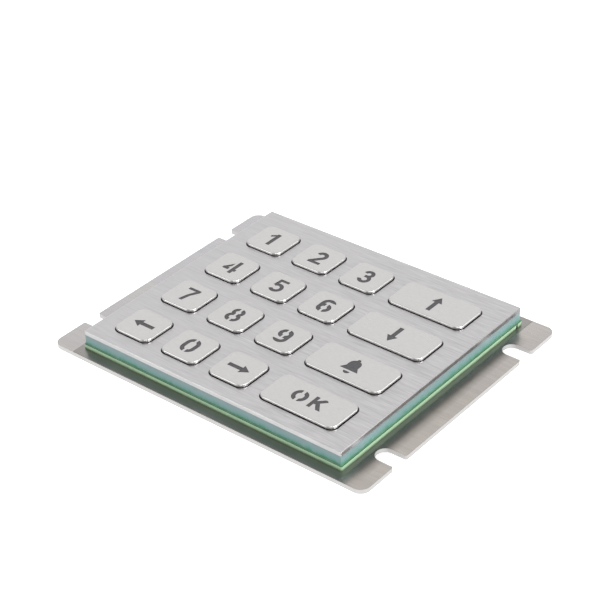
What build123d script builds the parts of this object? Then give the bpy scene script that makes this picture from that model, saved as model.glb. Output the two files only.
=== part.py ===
"""Panel-mount metal keypad module: brushed front panel, sprung stencil keys, light guide, board and slotted back plate.

Millimetres. +Z points out of the key faces, +Y towards the top row of keys, +X towards the column of wide keys.
x = y = 0 is the middle of the back plate and z = 0 is the plane of the rear stud tips, on which the module stands.
"""

from build123d import *
from math import atan2, degrees, hypot
import os

# ---- layers, from the rear upwards --------------------------------------------------------------------
STUD_TIP_Z = 0.0
PLATE_Z = 5.5
PLATE_T = 1.5
SHEET_T = 0.1
BOARD_T = 1.6
DOME_FILM_T = 0.4
GUIDE_T = 3.4
PANEL_T = 1.5
SHEET_Z = PLATE_Z + PLATE_T
BOARD_Z = SHEET_Z + SHEET_T
FILM_Z = BOARD_Z + BOARD_T
GUIDE_Z = FILM_Z + DOME_FILM_T
PANEL_Z = GUIDE_Z + GUIDE_T
PANEL_TOP = PANEL_Z + PANEL_T

# ---- outlines -----------------------------------------------------------------------------------------
PANEL_W, PANEL_D, PANEL_R = 110.5, 98.0, 0.4
PANEL_EDGE_R = 0.25
GUIDE_W, GUIDE_D = 110.4, 97.9
FILM_W, FILM_D = 110.8, 98.3
BOARD_W, BOARD_D = 111.3, 98.7
SHEET_W, SHEET_D, SHEET_R = 114.8, 106.4, 0.3
PLATE_W, PLATE_D, PLATE_R = 133.8, 106.8, 3.5

# ---- open slots in the back plate, for the installer's bolts ---------------------------------------------
SLOT_W = 6.6
SLOT_ARC_X = 61.3
SLOT_Y = 34.9
SLOT_MOUTH_R = 0.8

# ---- keys ---------------------------------------------------------------------------------------------
COLUMN_X = (-40.27, -19.02, 2.23, 31.48)
ROW_Y = (32.3, 9.8, -12.7, -35.2)
KEY_D = 14.8
SMALL_KEY_W = 15.5
WIDE_KEY_W = 30.7
KEY_R = 2.75
KEY_EDGE_R = 0.55
KEY_RISE = 1.1
KEY_TRAVEL = 0.8
KEY_SIDE_GAP = 0.35
KEY_WALL = 1.3
KEY_FACE_T = 1.2
LEGEND_RECESS = 0.12
FLANGE_LIP = 1.0
FLANGE_T = 0.8
FLANGE_TOP_GAP = 0.15
WELL_GAP = 0.35
WIDE_DOME_X = 7.5

# ---- snap domes and plungers ------------------------------------------------------------------------------
DOME_R = 4.2
DOME_H = 0.45
DOME_T = 0.1
PLUNGER_R = 3.0
PLUNGER_GAP = 0.1
FILM_WINDOW_D = 12.6
FILM_WINDOW_SIDE = 1.6

# ---- studs, nuts and washers (M3) --------------------------------------------------------------------------
STUD_R = 1.5
STUD_HOLE_R = 1.7
STUD_CHAMFER = 0.35
NUT_AF, NUT_H = 5.5, 2.4
NUT_BORE_R = 1.51
WASHER_R, WASHER_BORE_R, WASHER_T = 3.5, 1.6, 0.5
STUDS = [(x, y) for x in (-52.1, 51.3) for y in (44.8, -1.45, -46.25)]
STUDS += [(-0.4, 44.8), (-0.4, -46.25)]

# ---- rear electronics ----------------------------------------------------------------------------------------
HEADER_Y = 21.05
HEADER_W, HEADER_D, HEADER_H = 27.4, 5.75, 7.0
HEADER_WALL, HEADER_FLOOR = 0.8, 1.5
HEADER_KEY_W, HEADER_KEY_H, HEADER_KEY_X = 1.2, 4.2, 9.0
PIN_COUNT, PIN_PITCH, PIN_SIZE = 10, 2.5, 0.64
PIN_HOLE_R = 0.5
PIN_RECESS = 1.3
PIN_TAIL = 0.3
WINDOW_W, WINDOW_D, WINDOW_R = 44.0, 19.0, 2.0
WINDOW_Y = 16.5
CHIP_X, CHIP_Y = -4.0, 12.2
CHIP_W, CHIP_D, CHIP_H = 9.9, 3.9, 1.5
CHIP_STANDOFF = 0.12
LEAD_COUNT, LEAD_PITCH, LEAD_W, LEAD_T, LEAD_REACH = 8, 1.27, 0.42, 0.2, 1.05
RESISTOR = (1.6, 0.8, 0.5)
RESISTOR_AT = [(7.0 + 2.4 * i, y) for i in range(4) for y in (10.4, 13.4)]
LED = (2.0, 1.25, 0.7)
LED_Y = 5.4
NOTCH_W, NOTCH_DEPTH, NOTCH_Y = 1.0, 1.1, 46.3

# ---- legends ---------------------------------------------------------------------------------------------------
STROKE = 1.55
THIN_STROKE = 1.45
DIGIT_H = 7.8
BRIDGE = 0.9


def bar(start, end, width=STROKE):
    """Straight flat-ended stroke between two points."""
    dx, dy = end[0] - start[0], end[1] - start[1]
    middle = Pos((start[0] + end[0]) / 2, (start[1] + end[1]) / 2)
    return middle * Rot(0, 0, degrees(atan2(dy, dx))) * Rectangle(hypot(dx, dy), width)


def block(x0, x1, y0, y1):
    """Rectangle between two x and two y limits."""
    return Pos((x0 + x1) / 2, (y0 + y1) / 2) * Rectangle(x1 - x0, y1 - y0)


def sweep_arc(centre, radius, start, angle, width=STROKE):
    """Curved flat-ended stroke about a centre, from a start angle through a signed angle."""
    outer = CenterArc(centre, radius + width / 2, start, angle)
    inner = CenterArc(centre, radius - width / 2, start, angle)
    sides = [Line(outer @ 0, inner @ 0), Line(outer @ 1, inner @ 1)]
    return Sketch() + make_face([outer, inner] + sides)


def oval(width, height, stroke=STROKE):
    """Closed loop with fully rounded ends."""
    outer = RectangleRounded(width, height, min(width, height) / 2 - 0.01)
    hole_w, hole_h = width - 2 * stroke, height - 2 * stroke
    return outer - RectangleRounded(hole_w, hole_h, min(hole_w, hole_h) / 2 - 0.01)


def polygon(*points):
    """Filled straight-sided outline."""
    return Sketch() + make_face(Polyline(*points, close=True))


def one():
    stem = block(-0.7, 0.9, -DIGIT_H / 2, DIGIT_H / 2)
    flag = polygon((0.9, 3.9), (0.0, 3.9), (-2.6, 2.05), (-2.2, 1.05), (-0.7, 2.15), (0.9, 2.15))
    return stem + flag


def two():
    bowl = sweep_arc((0.2, 1.5), 1.7, 168, -206)
    slope = bar((1.62, 0.54), (-1.75, -3.2))
    base = block(-2.5, 2.75, -DIGIT_H / 2, -2.6)
    return bowl + slope + base


def three():
    upper = sweep_arc((-0.1, 1.75), 1.5, 172, -262, THIN_STROKE)
    lower = sweep_arc((0.1, -1.47), 1.75, 90, -258, THIN_STROKE)
    return upper + lower + block(-0.9, 0.2, -0.4, 0.92)


def four():
    stem = block(0.65, 2.15, -DIGIT_H / 2, DIGIT_H / 2)
    stub = block(0.7, 2.9, -2.3, -1.0)
    slope = polygon((-0.25, 2.2), (-0.25, 0.2), (-1.35, -1.4), (-2.85, -1.4))
    foot = block(-2.85, -0.25, -2.3, -1.0)
    return stem + stub + slope + foot


def five():
    top = block(-1.6, 2.4, 2.65, DIGIT_H / 2)
    side = polygon((-1.6, 3.9), (-0.35, 3.9), (-0.75, 0.35), (-2.05, -0.2))
    bowl = sweep_arc((0.15, -1.25), 1.95, 146, -292, THIN_STROKE)
    return top + side + bowl


def six():
    whole = Pos(0.1, 0) * oval(5.4, DIGIT_H)
    hook = whole & (block(-3, 0.2, -4, 4) + block(-3, 3, 2.3, 4))
    bowl = Pos(0.1, -1.4) * oval(5.4, 5.0)
    return hook + bowl - block(-0.25, 0.6, -4, 1.5)


def seven():
    top = block(-2.8, 2.45, 2.65, DIGIT_H / 2)
    upper = polygon((2.45, 2.7), (0.75, 2.7), (-0.75, -0.35), (0.7, -0.35))
    lower = polygon((-0.75, -0.35), (0.7, -0.35), (-0.15, -3.9), (-1.65, -3.9))
    return top + upper + lower


def eight():
    upper = Pos(0, 1.68) * oval(4.9, 4.44, THIN_STROKE)
    lower = Pos(0, -1.52) * oval(5.7, 4.76, THIN_STROKE)
    return upper + lower - block(-BRIDGE / 2, BRIDGE / 2, -4, 4)


def nine():
    return Rot(0, 0, 180) * six()


def zero():
    return oval(5.7, DIGIT_H) - block(-BRIDGE / 2, BRIDGE / 2, -4, 4)


def ok():
    letter_o = Pos(-3.6, 0.1) * (oval(5.7, 5.9, THIN_STROKE) - block(-0.55, 0.55, -4, 4))
    stem = block(1.1, 2.45, -2.85, 3.05)
    arms = bar((2.2, -0.3), (5.55, 2.95), THIN_STROKE) & block(2, 7, -2.85, 3.05)
    leg = bar((3.1, 0.75), (5.95, -3.2), THIN_STROKE) & block(2, 7, -2.85, 3.05)
    return letter_o + stem + arms + leg


def arrow():
    """Solid arrow pointing towards +X."""
    head = polygon((4.45, 0), (1.15, 2.1), (1.15, -2.1))
    return head + block(-4.4, 1.3, -0.82, 0.82)


def bell():
    """Plain solid bell with a knob above it and the clapper below its rim."""
    dome = Pos(0, 1.0) * Circle(2.3) + block(-2.3, 2.3, -1.2, 1.0)
    skirt = polygon((-2.3, -0.4), (2.3, -0.4), (3.6, -2.4), (-3.6, -2.4))
    knob = Pos(0, 3.45) * Circle(0.65)
    clapper = (Pos(0, -3.2) * Circle(1.25)) & block(-2, 2, -5, -3.2)
    return dome + skirt + knob + clapper


# name, column, row, legend
KEYS = [
    ("1", 0, 0, one()),
    ("2", 1, 0, two()),
    ("3", 2, 0, three()),
    ("up", 3, 0, Rot(0, 0, 90) * arrow()),
    ("4", 0, 1, four()),
    ("5", 1, 1, five()),
    ("6", 2, 1, six()),
    ("down", 3, 1, Rot(0, 0, -90) * arrow()),
    ("7", 0, 2, seven()),
    ("8", 1, 2, eight()),
    ("9", 2, 2, nine()),
    ("bell", 3, 2, bell()),
    ("left", 0, 3, Rot(0, 0, 180) * arrow()),
    ("0", 1, 3, zero()),
    ("right", 2, 3, arrow()),
    ("ok", 3, 3, ok()),
]


def key_width(column):
    return WIDE_KEY_W if column == 3 else SMALL_KEY_W


def dome_offsets(column):
    """x offsets of a key's snap domes from its centre."""
    return (-WIDE_DOME_X, WIDE_DOME_X) if column == 3 else (0.0,)


def slab(sketch, z, thickness):
    """Sketch raised to z and given a thickness upwards."""
    return Pos(0, 0, z) * extrude(sketch, thickness)


def at_keys(make):
    """Sum of make(column), placed at every key."""
    shapes = [Pos(COLUMN_X[c], ROW_Y[r]) * make(c) for _, c, r, _ in KEYS]
    return Sketch() + shapes


def at_studs(radius):
    return Sketch() + [Pos(x, y) * Circle(radius) for x, y in STUDS]


def pin_xs():
    return [(i - (PIN_COUNT - 1) / 2) * PIN_PITCH for i in range(PIN_COUNT)]


def rear_window():
    return Pos(0, WINDOW_Y) * RectangleRounded(WINDOW_W, WINDOW_D, WINDOW_R)


def front_panel():
    def opening(column):
        gap = 2 * KEY_SIDE_GAP
        return RectangleRounded(key_width(column) + gap, KEY_D + gap, KEY_R + KEY_SIDE_GAP)

    plate = slab(RectangleRounded(PANEL_W, PANEL_D, PANEL_R), PANEL_Z, PANEL_T)
    plate = fillet(plate.faces().sort_by(Axis.Z)[-1].edges(), PANEL_EDGE_R)
    return plate - slab(at_keys(opening), PANEL_Z, PANEL_T)


def light_guide():
    def well(column):
        grow = 2 * (FLANGE_LIP + WELL_GAP)
        return RectangleRounded(key_width(column) + grow, KEY_D + grow, KEY_R + FLANGE_LIP)

    outline = RectangleRounded(GUIDE_W, GUIDE_D, PANEL_R)
    return slab(outline - at_keys(well) - at_studs(STUD_HOLE_R), GUIDE_Z, GUIDE_T)


def dome_sheet():
    def window(column):
        return RectangleRounded(key_width(column) - 2 * FILM_WINDOW_SIDE, FILM_WINDOW_D, 1.0)

    outline = RectangleRounded(FILM_W, FILM_D, PANEL_R)
    tails = Pos(0, HEADER_Y) * Rectangle(PIN_COUNT * PIN_PITCH, 2.4)
    return slab(outline - at_keys(window) - at_studs(STUD_HOLE_R) - tails, FILM_Z, DOME_FILM_T)


def snap_domes():
    """Thin spring-steel caps standing on the board, one under each plunger."""
    ball = Sphere((DOME_R**2 + DOME_H**2) / (2 * DOME_H))
    ball_r = ball.radius
    cap = Pos(0, 0, DOME_H - ball_r) * ball & slab(Circle(DOME_R), 0, DOME_H)
    dome = cap - Pos(0, 0, DOME_H - DOME_T - ball_r) * ball
    places = [(COLUMN_X[c] + dx, ROW_Y[r]) for _, c, r, _ in KEYS for dx in dome_offsets(c)]
    return [Pos(x, y, FILM_Z) * dome for x, y in places]


def backlight_leds():
    places = [(COLUMN_X[c] + dx, ROW_Y[r] + LED_Y) for _, c, r, _ in KEYS for dx in dome_offsets(c)]
    return [Pos(x, y, FILM_Z + LED[2] / 2) * Box(*LED) for x, y in places]


def circuit_board():
    outline = RectangleRounded(BOARD_W, BOARD_D, PANEL_R)
    notch = Pos(BOARD_W / 2, NOTCH_Y) * Rectangle(2 * NOTCH_DEPTH, NOTCH_W)
    pins = Sketch() + [Pos(x, HEADER_Y) * Circle(PIN_HOLE_R) for x in pin_xs()]
    return slab(outline - at_studs(STUD_HOLE_R) - notch - pins, BOARD_Z, BOARD_T)


def insulating_sheet():
    outline = RectangleRounded(SHEET_W, SHEET_D, SHEET_R)
    return slab(outline - at_studs(STUD_HOLE_R) - rear_window(), SHEET_Z, SHEET_T)


def back_plate():
    reach = PLATE_W / 2 - SLOT_ARC_X
    plate = slab(RectangleRounded(PLATE_W, PLATE_D, PLATE_R), PLATE_Z, PLATE_T)
    slot = Circle(SLOT_W / 2) + block(0, reach + 1, -SLOT_W / 2, SLOT_W / 2)
    for side in (0, 180):
        for y in (-SLOT_Y, SLOT_Y):
            plate -= slab(Rot(0, 0, side) * Pos(SLOT_ARC_X, y) * slot, PLATE_Z, PLATE_T)
    mouths = [
        e
        for e in plate.edges().filter_by(Axis.Z)
        if abs(abs(e.center().X) - PLATE_W / 2) < 0.01 and abs(abs(e.center().Y) - SLOT_Y) < SLOT_W
    ]
    plate = fillet(mouths, SLOT_MOUTH_R)
    return plate - slab(at_studs(STUD_HOLE_R) + rear_window(), PLATE_Z, PLATE_T)


def panel_studs():
    stud = slab(Circle(STUD_R), STUD_TIP_Z, PANEL_Z - STUD_TIP_Z)
    stud = chamfer(stud.faces().sort_by(Axis.Z)[0].edges(), STUD_CHAMFER)
    return [Pos(x, y) * stud for x, y in STUDS]


def stud_washers():
    washer = slab(Circle(WASHER_R) - Circle(WASHER_BORE_R), PLATE_Z - WASHER_T, WASHER_T)
    return [Pos(x, y) * washer for x, y in STUDS]


def stud_nuts():
    base = PLATE_Z - WASHER_T - NUT_H
    hexagon = RegularPolygon(NUT_AF / 2, 6, major_radius=False)
    rounded = Circle(NUT_AF / 2 * 1.155)
    body = slab(hexagon, base, NUT_H)
    turned = slab(rounded, base, NUT_H)
    turned = chamfer(turned.faces().sort_by(Axis.Z)[0].edges(), 0.35)
    nut = (body & turned) - slab(Circle(NUT_BORE_R), base, NUT_H)
    return [Pos(x, y) * Rot(0, 0, 17 * i) * nut for i, (x, y) in enumerate(STUDS)]


def header_shell():
    top = BOARD_Z
    shell = slab(Rectangle(HEADER_W, HEADER_D), top - HEADER_H, HEADER_H)
    cavity = Rectangle(HEADER_W - 2 * HEADER_WALL, HEADER_D - 2 * HEADER_WALL)
    shell -= slab(cavity, top - HEADER_H, HEADER_H - HEADER_FLOOR)
    for x in (-HEADER_KEY_X, HEADER_KEY_X):
        key = Pos(x, -HEADER_D / 2) * Rectangle(HEADER_KEY_W, 2 * HEADER_WALL + 0.2)
        shell -= slab(key, top - HEADER_H, HEADER_KEY_H)
    for x in pin_xs():
        shell -= slab(Pos(x, 0) * Rectangle(PIN_SIZE, PIN_SIZE), top - HEADER_FLOOR, HEADER_FLOOR)
    return Pos(0, HEADER_Y) * shell


def header_pins():
    low = BOARD_Z - HEADER_H + PIN_RECESS
    high = BOARD_Z + BOARD_T + PIN_TAIL
    pin = slab(Rectangle(PIN_SIZE, PIN_SIZE), low, high - low)
    pin = chamfer(pin.faces().sort_by(Axis.Z)[0].edges(), 0.15)
    return [Pos(x, HEADER_Y) * pin for x in pin_xs()]


def controller_chip():
    low = BOARD_Z - CHIP_STANDOFF - CHIP_H
    body = slab(Rectangle(CHIP_W, CHIP_D), low, CHIP_H)
    body = chamfer(body.edges().filter_by(Axis.X), 0.25)
    return Pos(CHIP_X, CHIP_Y) * body


def chip_leads():
    """Gull-wing leads down both long sides of the controller."""
    shoulder_z = CHIP_STANDOFF + CHIP_H / 2
    half = LEAD_T / 2
    foot_y = LEAD_REACH
    outline = polygon(
        (0, shoulder_z - half),
        (0.3, shoulder_z - half),
        (0.45, 0),
        (foot_y, 0),
        (foot_y, LEAD_T),
        (0.62, LEAD_T),
        (0.47, shoulder_z + half),
        (0, shoulder_z + half),
    )
    lead = extrude(Plane.YZ * outline, LEAD_W / 2, both=True)
    lead = Rot(180, 0, 0) * lead
    leads = []
    for i in range(LEAD_COUNT):
        x = (i - (LEAD_COUNT - 1) / 2) * LEAD_PITCH
        near = Pos(x, -CHIP_D / 2) * lead
        leads += [near, Rot(0, 0, 180) * near]
    return [Pos(CHIP_X, CHIP_Y, BOARD_Z) * each for each in leads]


def chip_resistors():
    return [Pos(x, y, BOARD_Z - RESISTOR[2] / 2) * Box(*RESISTOR) for x, y in RESISTOR_AT]


def key_pocket(width):
    inner = 2 * KEY_WALL
    return RectangleRounded(width - inner, KEY_D - inner, KEY_R - KEY_WALL + 0.3)


def key_cap(width, legend):
    """Hollow metal cap with a retaining flange, its legend cut right through the face."""
    top = PANEL_TOP + KEY_RISE
    flange_top = PANEL_Z - FLANGE_TOP_GAP
    low = flange_top - FLANGE_T
    body = slab(RectangleRounded(width, KEY_D, KEY_R), low, top - low)
    body = fillet(body.faces().sort_by(Axis.Z)[-1].edges(), KEY_EDGE_R)
    lip = RectangleRounded(width + 2 * FLANGE_LIP, KEY_D + 2 * FLANGE_LIP, KEY_R + FLANGE_LIP)
    body += slab(lip, low, FLANGE_T)
    body -= slab(key_pocket(width), low, top - KEY_FACE_T - low)
    return body - slab(legend, top - KEY_FACE_T, KEY_FACE_T)


def key_core(width, legend, plunger_xs):
    """Translucent core: fills the cap and its legend, and carries the plungers."""
    top = PANEL_TOP + KEY_RISE
    low = PANEL_Z - FLANGE_TOP_GAP - FLANGE_T
    core = slab(key_pocket(width), low, top - KEY_FACE_T - low)
    core += slab(legend, top - KEY_FACE_T, KEY_FACE_T - LEGEND_RECESS)
    tip = FILM_Z + DOME_H + KEY_TRAVEL + PLUNGER_GAP
    for x in plunger_xs:
        core += slab(Pos(x, 0) * Circle(PLUNGER_R), tip, low - tip)
    return core


def save(name, shape):
    """Write one node: a solid, or a group of solids."""
    if isinstance(shape, list):
        shape = Compound(children=[Solid(s.solid().wrapped) for s in shape])
    export_step(shape, f"parts/{name}.step")


os.makedirs("parts", exist_ok=True)
FIXED = [
    front_panel,
    light_guide,
    dome_sheet,
    snap_domes,
    backlight_leds,
    circuit_board,
    insulating_sheet,
    back_plate,
    panel_studs,
    stud_washers,
    stud_nuts,
    header_shell,
    header_pins,
    controller_chip,
    chip_leads,
    chip_resistors,
]
for build in FIXED:
    save(build.__name__, build())
for name, column, row, legend in KEYS:
    place = Pos(COLUMN_X[column], ROW_Y[row])
    save(f"key_cap_{name}", place * key_cap(key_width(column), legend))
    save(f"key_core_{name}", place * key_core(key_width(column), legend, dome_offsets(column)))
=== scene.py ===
import math

import bpy
from mathutils import Matrix, Vector


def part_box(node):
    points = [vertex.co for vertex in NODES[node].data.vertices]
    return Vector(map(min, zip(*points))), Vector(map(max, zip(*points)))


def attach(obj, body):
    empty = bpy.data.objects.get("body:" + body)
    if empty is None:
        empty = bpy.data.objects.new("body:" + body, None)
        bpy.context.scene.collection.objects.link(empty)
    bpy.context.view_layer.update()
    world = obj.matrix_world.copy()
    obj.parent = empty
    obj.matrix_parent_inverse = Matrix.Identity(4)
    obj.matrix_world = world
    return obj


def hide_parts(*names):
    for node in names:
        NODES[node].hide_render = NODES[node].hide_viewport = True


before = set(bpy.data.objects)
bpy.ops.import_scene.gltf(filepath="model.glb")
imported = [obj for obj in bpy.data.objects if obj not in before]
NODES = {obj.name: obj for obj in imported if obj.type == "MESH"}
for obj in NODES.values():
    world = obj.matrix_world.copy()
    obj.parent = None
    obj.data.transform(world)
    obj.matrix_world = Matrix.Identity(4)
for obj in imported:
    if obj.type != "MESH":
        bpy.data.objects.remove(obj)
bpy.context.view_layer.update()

SCENE = bpy.context.scene
MM = 0.001
NOISE_LOW, NOISE_HIGH = 0.3, 0.7  # the range that a noise texture seldom leaves
GAP_SHADE = (0.012, 0.012, 0.012, 1)  # painted shade: near black for the walls deep in the gaps round the keys


# ---- node helpers ---------------------------------------------------------------------------------------
class Shader:
    """A procedural material with one Principled BSDF, and short calls to add and wire nodes."""

    def __init__(self, name, **constants):
        self.material = bpy.data.materials.new(name)
        self.material.use_nodes = True
        self.tree = self.material.node_tree
        self.bsdf = self.tree.nodes["Principled BSDF"]
        for socket, value in constants.items():
            self.bsdf.inputs[socket.replace("_", " ")].default_value = value

    def add(self, kind, inputs=None, **settings):
        made = self.tree.nodes.new("ShaderNode" + kind)
        for key, value in settings.items():
            setattr(made, key, value)
        for socket, value in (inputs or {}).items():
            self.put(made.inputs[socket], value)
        return made

    def put(self, socket, value):
        """Links a socket to another node's output, or sets it to a constant."""
        if isinstance(value, bpy.types.NodeSocket):
            self.tree.links.new(value, socket)
        else:
            socket.default_value = value

    def feed(self, **sockets):
        for socket, value in sockets.items():
            self.put(self.bsdf.inputs[socket.replace("_", " ")], value)

    def place(self, scale=(1, 1, 1), offset=(0, 0, 0)):
        """Object coordinates, stretched."""
        coords = self.add("TexCoord")
        return self.add(
            "Mapping", {"Vector": coords.outputs["Object"], "Scale": scale, "Location": offset}
        ).outputs["Vector"]

    def noise(self, scale, detail=2.0, rough=0.5, stretch=(1, 1, 1), offset=(0, 0, 0)):
        return self.add(
            "TexNoise",
            {
                "Vector": self.place(stretch, offset),
                "Scale": scale,
                "Detail": detail,
                "Roughness": rough,
            },
        ).outputs["Fac"]

    def ramp(self, factor, *stops):
        """Colour ramp: each stop is (position, colour)."""
        made = self.add("ValToRGB", {"Fac": factor})
        elements = made.color_ramp.elements
        while len(elements) < len(stops):
            elements.new(1.0)
        for element, (position, colour) in zip(elements, stops):
            element.position = position
            element.color = (*colour, 1.0)
        return made.outputs["Color"]

    def remap(self, value, low, high, to_low, to_high):
        return self.add(
            "MapRange",
            {"Value": value, "From Min": low, "From Max": high, "To Min": to_low, "To Max": to_high},
        ).outputs["Result"]

    def tint(self, noise, dark, light):
        """Colour that follows a noise."""
        return self.ramp(noise, (NOISE_LOW, dark), (NOISE_HIGH, light))

    def vary(self, noise, low, high):
        """Number that follows a noise."""
        return self.remap(noise, NOISE_LOW, NOISE_HIGH, low, high)

    def maths(self, operation, a, b=0.0, clamp=False):
        made = self.add("Math", {0: a, 1: b}, operation=operation)
        made.use_clamp = clamp
        return made.outputs["Value"]

    def product(self, first, *others):
        for other in others:
            first = self.maths("MULTIPLY", first, other)
        return first

    def mix(self, factor, a, b):
        made = self.add("Mix", data_type="RGBA")
        self.put(made.inputs[0], factor)
        self.put(made.inputs[6], a)
        self.put(made.inputs[7], b)
        return made.outputs[2]

    def axis(self, name, source="Object"):
        """One component of the object coordinates, in metres, or of the surface normal."""
        if source == "Normal":
            vector = self.add("NewGeometry").outputs["Normal"]
        else:
            vector = self.add("TexCoord").outputs[source]
        return self.add("SeparateXYZ", {"Vector": vector}).outputs[name]

    def bump(self, height, strength, distance):
        """Surface normal for a relief of this distance, in metres, from low to high."""
        inputs = {"Height": height, "Strength": strength, "Distance": distance}
        return self.add("Bump", inputs).outputs["Normal"]


def rgb(r, g, b):
    """Linear colour from 0-255 display values, all above 10."""
    return tuple(((c / 255 + 0.055) / 1.055) ** 2.4 for c in (r, g, b))


# ---- metals ---------------------------------------------------------------------------------------------
def along_x(shader):
    """Tangent for brushing that runs from side to side."""
    return shader.add("CombineXYZ", {"X": 1.0, "Y": 0.0, "Z": 0.0}).outputs["Vector"]


def inside_openings(s):
    """1 on the walls of the key openings, where near-black shade is painted, 0 on the outer faces of the
    front panel.
    """
    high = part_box("front_panel")[1]
    rim = 0.4 * MM
    across = s.maths("LESS_THAN", s.maths("ABSOLUTE", s.axis("X")), high.x - rim)
    along = s.maths("LESS_THAN", s.maths("ABSOLUTE", s.axis("Y")), high.y - rim)
    below = s.remap(s.axis("Z"), high.z - 0.05 * MM, high.z - 0.3 * MM, 0.0, 1.0)
    return s.product(across, along, below)


def panel_steel():
    """Stainless sheet, belt-brushed along X: hair lines, longer streaks, faint bands and dark nicks."""
    s = Shader("panel_steel", Metallic=1.0, Anisotropic=0.35)
    hair = s.noise(1.0, 4.0, 0.65, stretch=(110, 2000, 2000))
    streaks = s.noise(1.0, 3.0, 0.6, stretch=(90, 1500, 1500), offset=(3.1, 0.7, 0.2))
    bands = s.noise(1.0, 2.0, 0.5, stretch=(20, 220, 220), offset=(0.4, 5.2, 1.0))
    blend = s.maths("ADD", s.maths("MULTIPLY", hair, 0.58), s.maths("MULTIPLY", streaks, 0.36))
    blend = s.maths("ADD", blend, s.maths("MULTIPLY", bands, 0.06))
    nicks = s.noise(1.0, 2.0, 0.5, stretch=(160, 2100, 2100), offset=(9.0, 2.0, 4.0))
    nicks = s.remap(nicks, 0.70, 0.76, 0.0, 0.3)
    # brushed harder towards +X, where the lines show more
    wear = s.remap(s.axis("X"), -50 * MM, 50 * MM, 0.55, 1.1)
    blend = s.maths("ADD", s.maths("MULTIPLY", s.maths("SUBTRACT", blend, 0.5), wear), 0.5)
    steel = s.ramp(blend, (0.38, (0.365, 0.358, 0.364)), (0.62, (0.470, 0.462, 0.468)))
    steel = s.mix(nicks, steel, (0.20, 0.195, 0.19, 1))
    # painted highlight: the -Y front face is painted brighter than the brushed face, standing in for its
    # reflection of the bright floor
    front_highlight = s.maths("LESS_THAN", s.axis("Y", "Normal"), -0.6)
    steel = s.mix(s.maths("MULTIPLY", front_highlight, 0.35), steel, (0.56, 0.565, 0.55, 1))
    # painted shade: the +X edge face is painted dark over a scored texture through its thickness, darker
    # towards the rear
    cut = s.maths("GREATER_THAN", s.axis("X", "Normal"), 0.4)
    scores = s.noise(1.0, 4.0, 0.7, stretch=(60, 900, 60), offset=(2.0, 6.0, 1.0))
    scores = s.remap(scores, 0.35, 0.65, 0.0, 1.0)
    rearward = s.remap(s.axis("Y"), -45 * MM, 5 * MM, 0.15, 0.85)
    scored_shade = s.mix(s.maths("MULTIPLY", scores, 0.5), (0.16, 0.158, 0.155, 1), (0.42, 0.415, 0.41, 1))
    steel = s.mix(s.maths("MULTIPLY", cut, rearward), steel, scored_shade)
    # painted shade: the walls of the key openings are painted near black
    s.feed(
        Base_Color=s.mix(inside_openings(s), steel, GAP_SHADE),
        Roughness=s.remap(blend, 0.36, 0.64, 0.38, 0.28),
        Normal=s.bump(blend, 1.0, 1.6e-5),
        Tangent=along_x(s),
    )
    return s.material


def key_steel():
    """Caps: satin polished, with a faint grain, and painted near-black shade where they sink into their
    openings.
    """
    s = Shader("key_steel", Metallic=1.0)
    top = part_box("front_panel")[1].z
    mottle = s.noise(110.0, 2.0, 0.45)
    fine = s.noise(1.0, 2.0, 0.5, stretch=(700, 3200, 3200))
    steel = s.tint(fine, (0.447, 0.440, 0.433), (0.483, 0.476, 0.469))
    # painted shade: near black below the panel's top face, where the caps sink into their openings
    sunk_shade = s.remap(s.axis("Z"), top - 0.25 * MM, top - 0.6 * MM, 0.0, 1.0)
    s.feed(
        Base_Color=s.mix(sunk_shade, steel, GAP_SHADE),
        Roughness=s.vary(mottle, 0.27, 0.31),
        Normal=s.bump(fine, 1.0, 1.5e-6),
    )
    return s.material


def plate_steel():
    """Cold-rolled back plate: semi-bright, cloudy, warmer and darker over its +X -Y half."""
    s = Shader("plate_steel", Metallic=1.0)
    cloud = s.noise(70.0, 4.0, 0.6, stretch=(1.0, 1.6, 1.0))
    rolling = s.noise(1.0, 3.0, 0.55, stretch=(60, 900, 900))
    tone = s.mix(0.35, cloud, rolling)
    # warmer and darker towards +X and -Y, unevenly
    across = s.maths("SUBTRACT", s.axis("X"), s.axis("Y"))
    warm_side = s.remap(across, -80 * MM, 60 * MM, 0.0, 1.0)
    warm_side = s.maths("ADD", warm_side, s.vary(cloud, -0.25, 0.25), clamp=True)
    plain_tone = s.ramp(tone, (0.34, (0.375, 0.368, 0.378)), (0.66, (0.425, 0.418, 0.428)))
    warm = s.ramp(tone, (0.34, (0.315, 0.285, 0.258)), (0.66, (0.395, 0.370, 0.345)))
    steel = s.mix(warm_side, plain_tone, warm)
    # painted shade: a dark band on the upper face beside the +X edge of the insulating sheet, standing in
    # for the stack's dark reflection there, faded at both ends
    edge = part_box("insulating_sheet")[1].x
    film = s.product(
        s.remap(s.axis("X"), edge + 2.2 * MM, edge + 5.8 * MM, 1.0, 0.0),
        s.maths("GREATER_THAN", s.axis("X"), edge - 1.5 * MM),
        s.maths("GREATER_THAN", s.axis("Z", "Normal"), 0.6),
        s.remap(s.axis("Y"), -44 * MM, -51 * MM, 1.0, 0.0),
        s.remap(s.axis("Y"), 37 * MM, 44 * MM, 1.0, 0.0),
        0.78,
    )
    shaded_steel = s.mix(film, steel, (0.16, 0.145, 0.13, 1))
    # the cut edges are one plain tone
    flat = s.maths("GREATER_THAN", s.maths("ABSOLUTE", s.axis("Z", "Normal")), 0.6)
    s.feed(
        Base_Color=s.mix(flat, (0.41, 0.405, 0.40, 1), shaded_steel),
        Roughness=s.vary(cloud, 0.20, 0.28),
        Normal=s.bump(rolling, 1.0, 3e-6),
    )
    return s.material


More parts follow.
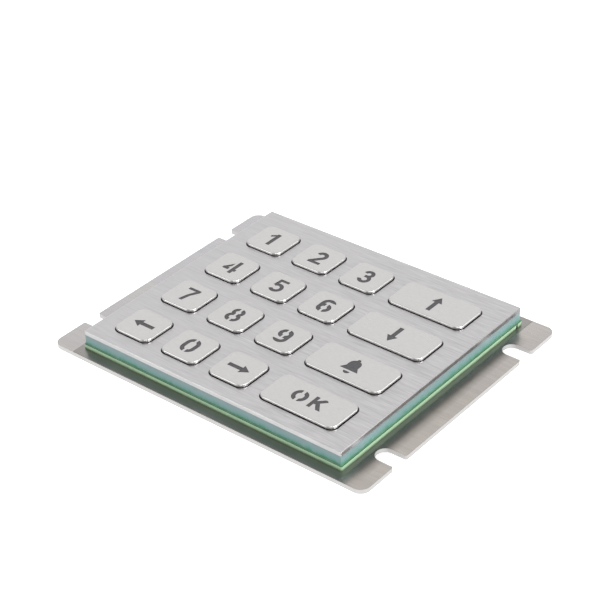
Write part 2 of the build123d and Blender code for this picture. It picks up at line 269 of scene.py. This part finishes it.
def clouded_metal(name, noise, dark, light, smooth, rough):
    """Plain metal whose colour and roughness follow one noise."""
    s = Shader(name, Metallic=1.0)
    cloud = s.noise(*noise)
    s.feed(Base_Color=s.tint(cloud, dark, light), Roughness=s.vary(cloud, smooth, rough))
    return s.material


def zinc_steel():
    dark, light = (0.62, 0.63, 0.64), (0.72, 0.72, 0.70)
    return clouded_metal("zinc_steel", (700.0, 3.0, 0.6), dark, light, 0.25, 0.4)


def spring_steel():
    dark, light = (0.66, 0.64, 0.58), (0.74, 0.72, 0.66)
    return clouded_metal("spring_steel", (900.0, 2.0, 0.5), dark, light, 0.16, 0.28)


def tinned_pin():
    dark, light = (0.70, 0.69, 0.66), (0.78, 0.77, 0.73)
    return clouded_metal("tinned_pin", (1500.0, 2.0, 0.5), dark, light, 0.18, 0.3)


# ---- plastics, films and the board ----------------------------------------------------------------------
def legend_resin():
    s = Shader("legend_resin", Roughness=0.55, Specular_IOR_Level=0.3)
    cloud = s.noise(1400.0, 2.0, 0.5)
    s.feed(Base_Color=s.ramp(cloud, (0.3, rgb(54, 52, 54)), (0.75, rgb(68, 67, 69))))
    return s.material


def blue_acrylic():
    """Light guide: grey-blue, painted greener and darker towards its lower face for the green board seen
    through it, and a little darker at the top as painted shade under the panel.
    """
    s = Shader("blue_acrylic", Roughness=0.22, Specular_IOR_Level=0.15)
    low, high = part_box("light_guide")
    height = s.remap(s.axis("Z"), low.z, high.z, 0.0, 1.0)
    wander = s.vary(s.noise(1.0, 3.0, 0.6, stretch=(420, 420, 70)), -0.16, 0.16)
    level = s.maths("ADD", height, wander)
    # painted light: greener and darker low down for the board showing through, slightly darker at the top
    # for shade under the panel
    s.feed(
        Base_Color=s.ramp(
            level,
            (0.0, rgb(88, 137, 118)),
            (0.15, rgb(102, 143, 133)),
            (0.38, rgb(115, 145, 144)),
            (0.65, rgb(121, 144, 145)),
            (1.0, rgb(121, 136, 138)),
        )
    )
    return s.material


def green_film():
    s = Shader("green_film", Roughness=0.5)
    cloud = s.noise(300.0, 2.0, 0.5)
    s.feed(Base_Color=s.tint(cloud, rgb(80, 114, 92), rgb(98, 132, 110)))
    return s.material


def board_green():
    """Green solder mask on both faces, bare pale laminate on the routed edges, darker towards their lower
    face: partly the solder mask there, partly painted shade.
    """
    s = Shader("board_green")
    flat = s.maths("GREATER_THAN", s.maths("ABSOLUTE", s.axis("Z", "Normal")), 0.5)
    fibres = s.noise(1.0, 3.0, 0.6, stretch=(900, 900, 5200))
    low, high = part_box("circuit_board")
    level = s.remap(s.axis("Z"), low.z, high.z, 0.0, 1.0)
    level = s.maths("ADD", level, s.vary(fibres, -0.12, 0.12))
    # laminate edges darken towards the lower face: partly the solder mask layer, partly painted shade
    edge = s.ramp(level, (0.2, rgb(106, 132, 102)), (0.5, rgb(160, 190, 158)), (1.0, rgb(156, 184, 152)))
    mask = s.tint(s.noise(120.0, 3.0, 0.5), rgb(16, 84, 44), rgb(24, 100, 54))
    s.feed(Base_Color=s.mix(flat, edge, mask), Roughness=s.remap(flat, 0.0, 1.0, 0.55, 0.28))
    return s.material


def grey_film():
    """Insulating sheet: dark metallised film, semi-gloss."""
    dark, light = (0.236, 0.226, 0.214), (0.266, 0.256, 0.244)
    return clouded_metal("grey_film", (60.0, 3.0, 0.5), dark, light, 0.26, 0.34)


def led_white():
    s = Shader("led_white", Roughness=0.4)
    s.feed(Base_Color=s.tint(s.noise(2000.0), (0.78, 0.78, 0.72), (0.86, 0.86, 0.8)))
    return s.material


def header_nylon():
    s = Shader("header_nylon", Roughness=0.45)
    cloud = s.noise(400.0, 3.0, 0.5)
    s.feed(
        Base_Color=s.tint(cloud, (0.76, 0.72, 0.62), (0.82, 0.79, 0.70)),
        Normal=s.bump(s.noise(3500.0, 2.0), 0.4, 8e-6),
    )
    return s.material


def chip_black():
    s = Shader("chip_black", Roughness=0.5)
    s.feed(
        Base_Color=s.tint(s.noise(3000.0), (0.018, 0.018, 0.02), (0.03, 0.03, 0.032)),
        Normal=s.bump(s.noise(9000.0, 2.0), 0.5, 8e-6),
    )
    return s.material


MAKERS = (
    panel_steel,
    key_steel,
    plate_steel,
    zinc_steel,
    spring_steel,
    tinned_pin,
    legend_resin,
    blue_acrylic,
    green_film,
    board_green,
    grey_film,
    led_white,
    header_nylon,
    chip_black,
)
FINISH = {maker.__name__: maker() for maker in MAKERS}
for item in NODES.values():
    for place in item.material_slots:
        place.material = FINISH[place.material.name.split(".")[0]]


# ---- threaded studs -------------------------------------------------------------------------------------
STUD_R = 1.5 * MM
THREAD_PITCH = 0.5 * MM
THREAD_DEPTH = 0.3 * MM
THREAD_CREST, THREAD_FLANK = 0.1, 0.75  # flat crest and sloping flank, as shares of half a pitch
THREAD_STEPS = 10
TIP_CHAMFER = 0.35 * MM
STUD_SIDES = 28
SHARP_DEGREES = 35


def stud_centres():
    """Where the CAD studs stand, from the xy extent of each one's vertices."""
    groups = []
    for vertex in NODES["panel_studs"].data.vertices:
        x, y = vertex.co.x, vertex.co.y
        for box in groups:
            if abs(x - box[0]) < 2 * STUD_R + MM and abs(y - box[2]) < 2 * STUD_R + MM:
                box[:] = min(box[0], x), max(box[1], x), min(box[2], y), max(box[3], y)
                break
        else:
            groups.append([x, x, y, y])
    return [((box[0] + box[1]) / 2, (box[2] + box[3]) / 2) for box in groups]


def stud_radius(angle, z, thread_top):
    """Helical V thread up to thread_top, plain shank above it, chamfered at the tip."""
    crest = min(STUD_R, STUD_R - TIP_CHAMFER + z)
    if z > thread_top:
        return crest
    phase = (z / THREAD_PITCH - angle / math.tau) % 1.0
    flank = min(max((abs(2 * phase - 1) - THREAD_CREST) / THREAD_FLANK, 0.0), 1.0)
    return min(crest, STUD_R - THREAD_DEPTH * flank)


def threaded_studs():
    """All eight studs in one mesh, cut with a real helix where the nuts run."""
    low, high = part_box("panel_studs")
    thread_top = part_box("back_plate")[1].z
    step = THREAD_PITCH / THREAD_STEPS
    heights = [i * step for i in range(int(thread_top / step) + 2)] + [high.z]
    corners, faces = [], []
    for x, y in stud_centres():
        first = len(corners)
        for z in heights:
            for side in range(STUD_SIDES):
                angle = math.tau * side / STUD_SIDES
                radius = stud_radius(angle, z, thread_top)
                corners.append((x + radius * math.cos(angle), y + radius * math.sin(angle), low.z + z))
        for ring in range(len(heights) - 1):
            base = first + ring * STUD_SIDES
            above = base + STUD_SIDES
            for side in range(STUD_SIDES):
                beside = (side + 1) % STUD_SIDES
                faces.append((base + side, base + beside, above + beside, above + side))
        last = first + (len(heights) - 1) * STUD_SIDES
        faces.append(tuple(first + side for side in reversed(range(STUD_SIDES))))
        faces.append(tuple(last + side for side in range(STUD_SIDES)))
    mesh = bpy.data.meshes.new("threaded_studs")
    mesh.from_pydata(corners, [], faces)
    mesh.shade_smooth()
    mesh.set_sharp_from_angle(angle=math.radians(SHARP_DEGREES))
    mesh.materials.append(FINISH["zinc_steel"])
    made = bpy.data.objects.new("threaded_studs", mesh)
    SCENE.collection.objects.link(made)
    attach(made, "module")
    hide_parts("panel_studs")


threaded_studs()


# ---- camera ---------------------------------------------------------------------------------------------
AZIMUTH, ELEVATION, ROLL = (math.radians(a) for a in (41.035, 33.261, -2.749))
CAMERA_AT = (0.31671, -0.36479, 0.33865)
LENS_MM = 103.464
SENSOR_MM = 36.0


def camera_axes():
    """Right, up and back of a camera that looks down at the module, rolled slightly."""
    back = Vector(
        (
            math.sin(AZIMUTH) * math.cos(ELEVATION),
            -math.cos(AZIMUTH) * math.cos(ELEVATION),
            math.sin(ELEVATION),
        )
    )
    right = Vector((math.cos(AZIMUTH), math.sin(AZIMUTH), 0))
    up = back.cross(right)
    return (
        math.cos(ROLL) * right + math.sin(ROLL) * up,
        math.cos(ROLL) * up - math.sin(ROLL) * right,
        back,
    )


camera = bpy.data.objects.new("camera", bpy.data.cameras.new("camera"))
SCENE.collection.objects.link(camera)
camera.data.lens = LENS_MM
camera.data.sensor_width = SENSOR_MM
camera.data.clip_start = 0.01
camera.matrix_world = Matrix.Translation(CAMERA_AT) @ Matrix(camera_axes()).transposed().to_4x4()
SCENE.camera = camera
SCENE.view_settings.view_transform = "Standard"


# ---- studio ---------------------------------------------------------------------------------------------
SOFTBOX_DISTANCE = 0.9
SOFTBOX_SIZE = 0.4
SOFTBOXES = {  # direction from the module, and power in watts
    "softbox_left": ((-0.55, -0.7, 0.42), 1.6),
    "softbox_rear": ((0.70, 0.63, 0.36), 1.15),
    "softbox_above": ((0.33, -0.38, 0.86), 1.9),
    "softbox_right": ((0.72, 0.1, 0.68), 6.6),
}
SKY_STRENGTH = 1.35
SKY_TOWARDS = (-0.549, 0.631, 0.548)
SKY_DIM = 0.45
FLOOR_HALF = 3.0
FLOOR_GLOW = 0.85


def softbox(name, direction, power):
    """Square area light facing the module from one direction."""
    lamp = bpy.data.lights.new(name, "AREA")
    lamp.shape = "SQUARE"
    lamp.size = SOFTBOX_SIZE
    lamp.energy = power
    made = bpy.data.objects.new(name, lamp)
    SCENE.collection.objects.link(made)
    heading = Vector(direction).normalized()
    made.location = heading * SOFTBOX_DISTANCE
    made.rotation_mode = "QUATERNION"
    made.rotation_quaternion = heading.to_track_quat("Z", "Y")


def studio_sky():
    """Soft surroundings: brightest behind the module on the left, dimmer in front of it."""
    world = bpy.data.worlds.new("studio")
    SCENE.world = world
    world.use_nodes = True
    tree = world.node_tree
    background = tree.nodes["Background"]
    background.inputs["Strength"].default_value = SKY_STRENGTH
    where = tree.nodes.new("ShaderNodeTexCoord")
    toward = tree.nodes.new("ShaderNodeVectorMath")
    toward.operation = "DOT_PRODUCT"
    toward.inputs[1].default_value = SKY_TOWARDS
    tree.links.new(where.outputs["Generated"], toward.inputs[0])
    shade = tree.nodes.new("ShaderNodeMapRange")
    for socket, value in (("From Min", 0.1), ("From Max", 0.9), ("To Min", SKY_DIM), ("To Max", 1.0)):
        shade.inputs[socket].default_value = value
    tree.links.new(toward.outputs["Value"], shade.inputs["Value"])
    tree.links.new(shade.outputs["Result"], background.inputs["Color"])


def floor():
    """Plain pale studio floor under the stud tips."""
    mesh = bpy.data.meshes.new("floor")
    corners = [(x * FLOOR_HALF, y * FLOOR_HALF, 0) for x, y in ((-1, -1), (1, -1), (1, 1), (-1, 1))]
    mesh.from_pydata(corners, [], [(0, 1, 2, 3)])
    made = bpy.data.objects.new("floor", mesh)
    SCENE.collection.objects.link(made)
    s = Shader("floor", Roughness=1.0, Base_Color=(0.5, 0.5, 0.5, 1))
    s.feed(Emission_Color=(1.0, 1.0, 1.0, 1.0), Emission_Strength=FLOOR_GLOW)
    mesh.materials.append(s.material)


for name, (direction, power) in SOFTBOXES.items():
    softbox(name, direction, power)
studio_sky()
floor()
